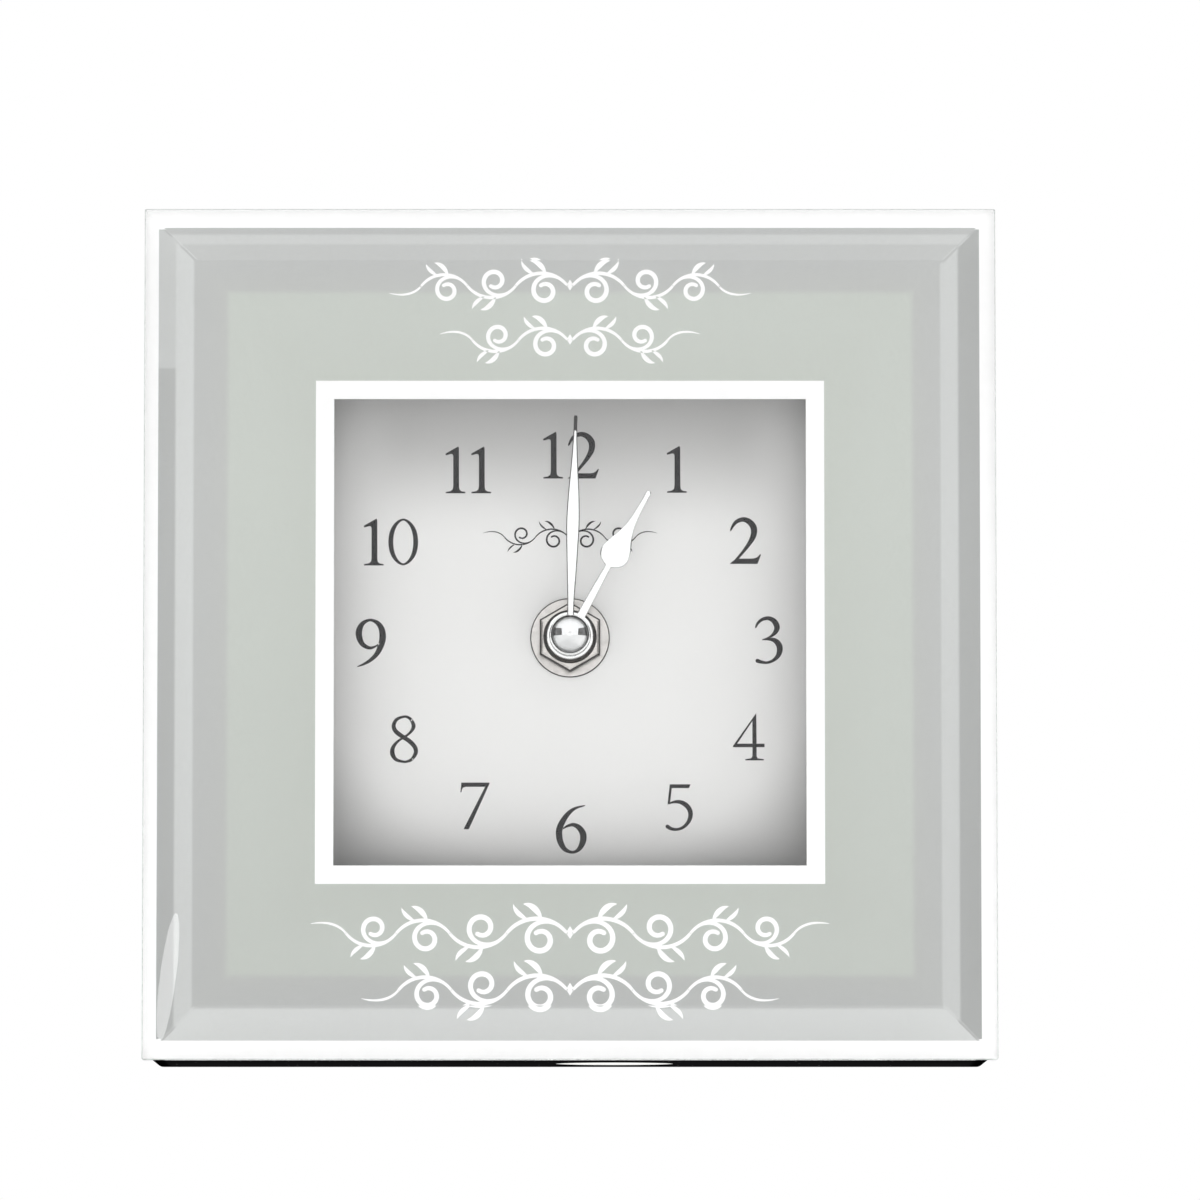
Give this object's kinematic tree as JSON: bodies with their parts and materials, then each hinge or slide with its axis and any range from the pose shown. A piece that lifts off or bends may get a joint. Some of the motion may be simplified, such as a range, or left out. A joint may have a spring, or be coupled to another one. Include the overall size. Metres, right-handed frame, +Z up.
{
  "type": "square mantel clock",
  "caption": "Square table clock with a bevelled glass front, a printed border, a recessed numbered dial, two polished hands and a battery quartz movement behind.",
  "frame": {"origin": "middle of the footprint, on the surface that the clock stands on", "axes": "+Z up, +X to the right as seen from the front, and the dial faces -Y"},
  "size_m": [0.16, 0.04, 0.16],
  "materials": {
    "glass": "clear float glass, bevelled and polished",
    "print": "grey-green back print with white borders",
    "flock": "black velvet flock",
    "paper": "plain white paper",
    "fibreboard": "raw medium density fibreboard",
    "steel": "nickel plated steel",
    "dial": "matte white dial card",
    "rubber": "matte black rubber",
    "brass": "turned brass",
    "hands": "polished aluminium",
    "chrome": "bright chrome plate",
    "black_plastic": "fine grained moulded ABS",
    "white_plastic": "natural acetal",
    "red_plastic": "red acetal",
    "magnet": "sintered magnet",
    "copper": "enamelled copper wire",
    "board": "green solder mask",
    "battery_jacket": "plain printed jacket"
  },
  "bodies": {
    "case": {"glass_front": "glass", "printed_film": "print", "flock_cover": "flock", "base_label": "paper", "front_board": "fibreboard", "rail_bottom": "fibreboard", "rail_top": "fibreboard", "rail_left": "fibreboard", "rail_right": "fibreboard", "recess_spacer": "fibreboard", "back_panel": "flock", "back_screw_1": "steel", "back_screw_2": "steel", "back_screw_3": "steel", "back_screw_4": "steel", "dial_card": "dial", "dial_board": "fibreboard", "dial_gasket": "rubber", "threaded_bushing": "brass", "dial_washer": "steel", "hex_nut": "steel", "movement_housing": "black_plastic", "movement_cover": "black_plastic", "middle_plate": "white_plastic", "stator_plate": "steel", "coil_core": "steel", "coil_bobbin": "white_plastic", "coil_winding": "copper", "circuit_board": "board", "chip_cover": "black_plastic", "quartz_crystal": "steel", "contact_positive": "steel", "contact_negative": "steel"},
    "minute_work": {"minute_arbor": "steel", "minute_hand": "hands", "cap_nut": "chrome"},
    "hour_work": {"hour_wheel": "white_plastic", "hour_hand": "hands", "hour_collar": "chrome"},
    "minute_wheel": {"minute_wheel": "white_plastic"},
    "set_knob": {"set_knob": "black_plastic"},
    "centre_wheel": {"centre_wheel": "white_plastic"},
    "third_wheel": {"third_wheel": "red_plastic"},
    "seconds_wheel": {"seconds_wheel": "white_plastic"},
    "step_wheel": {"step_wheel": "red_plastic"},
    "rotor": {"rotor_pinion": "white_plastic", "rotor_magnet": "magnet"},
    "battery": {"battery": "battery_jacket"}
  },
  "joints": [
    {"name": "minute_turn", "type": "hinge", "parent": "case", "child": "minute_work", "pos_m": [0, 0, 0.08], "axis": [0, 1, 0], "continuous": true},
    {"name": "hour_turn", "type": "hinge", "parent": "case", "child": "hour_work", "pos_m": [0, 0, 0.08], "axis": [0, 1, 0], "continuous": true},
    {"name": "minute_wheel_turn", "type": "hinge", "parent": "case", "child": "minute_wheel", "pos_m": [0.00811, 0, 0.07783], "axis": [0, 1, 0], "continuous": true},
    {"name": "set_knob_turn", "type": "hinge", "parent": "case", "child": "set_knob", "pos_m": [0.01651, 0, 0.07783], "axis": [0, 1, 0], "continuous": true},
    {"name": "seconds_wheel_turn", "type": "hinge", "parent": "case", "child": "seconds_wheel", "pos_m": [0, 0, 0.08], "axis": [0, 1, 0], "continuous": true},
    {"name": "third_wheel_turn", "type": "hinge", "parent": "case", "child": "third_wheel", "pos_m": [0.0054, 0, 0.08935], "axis": [0, 1, 0], "continuous": true},
    {"name": "centre_wheel_turn", "type": "hinge", "parent": "case", "child": "centre_wheel", "pos_m": [0, 0, 0.08], "axis": [0, 1, 0], "continuous": true},
    {"name": "step_wheel_turn", "type": "hinge", "parent": "case", "child": "step_wheel", "pos_m": [-0.00893, 0, 0.08325], "axis": [0, 1, 0], "continuous": true},
    {"name": "rotor_turn", "type": "hinge", "parent": "case", "child": "rotor", "pos_m": [-0.01218, 0, 0.0922], "axis": [0, 1, 0], "continuous": true},
    {"name": "battery_slide", "type": "slide", "parent": "case", "child": "battery", "axis": [0, 1, 0], "range_m": [0, 0.02]}
  ],
  "couplings": [
    {"joint": "hour_turn", "follows": "minute_turn", "ratio": 0.083333},
    {"joint": "minute_wheel_turn", "follows": "minute_turn", "ratio": -0.33333},
    {"joint": "set_knob_turn", "follows": "minute_turn", "ratio": 1},
    {"joint": "third_wheel_turn", "follows": "seconds_wheel_turn", "ratio": -0.13333},
    {"joint": "centre_wheel_turn", "follows": "seconds_wheel_turn", "ratio": 0.016667},
    {"joint": "step_wheel_turn", "follows": "seconds_wheel_turn", "ratio": -4},
    {"joint": "rotor_turn", "follows": "seconds_wheel_turn", "ratio": 30}
  ]
}
